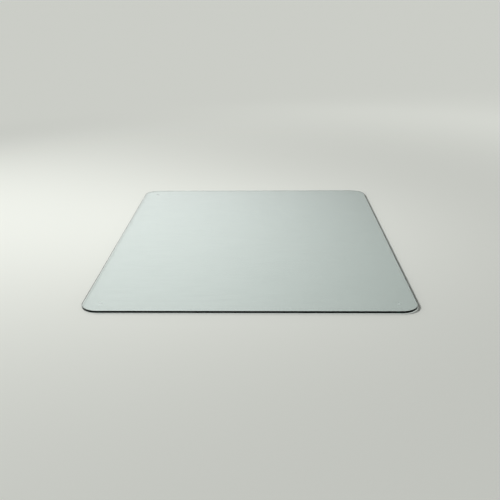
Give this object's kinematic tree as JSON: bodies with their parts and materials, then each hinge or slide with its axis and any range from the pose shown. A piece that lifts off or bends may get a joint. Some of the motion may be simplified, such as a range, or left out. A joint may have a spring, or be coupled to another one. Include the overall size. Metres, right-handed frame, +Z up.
{
  "type": "chair mat",
  "caption": "Clear tempered-glass chair mat: a flat rectangular pane with rounded corners and a flat polished rim, on thin clear stick-on corner bumpers.",
  "frame": {"origin": "on the floor, under the middle of the pane", "axes": "+X to the right along the 36 in side, +Y from the front rim to the back rim along the 46 in side, +Z up"},
  "size_m": [0.9144, 1.1684, 0.008],
  "materials": {
    "clear_glass": "clear tempered soda-lime glass with a faint green tint, flat polished rim",
    "clear_bumper": "clear cast polyurethane, glossy side, satin foot",
    "clear_adhesive": "clear acrylic adhesive film, wetted out against the glass"
  },
  "bodies": {
    "root": {"glass_pane": "clear_glass", "bumper_front_left": "clear_bumper", "adhesive_front_left": "clear_adhesive", "bumper_front_right": "clear_bumper", "adhesive_front_right": "clear_adhesive", "bumper_back_left": "clear_bumper", "adhesive_back_left": "clear_adhesive", "bumper_back_right": "clear_bumper", "adhesive_back_right": "clear_adhesive"}
  },
  "joints": []
}
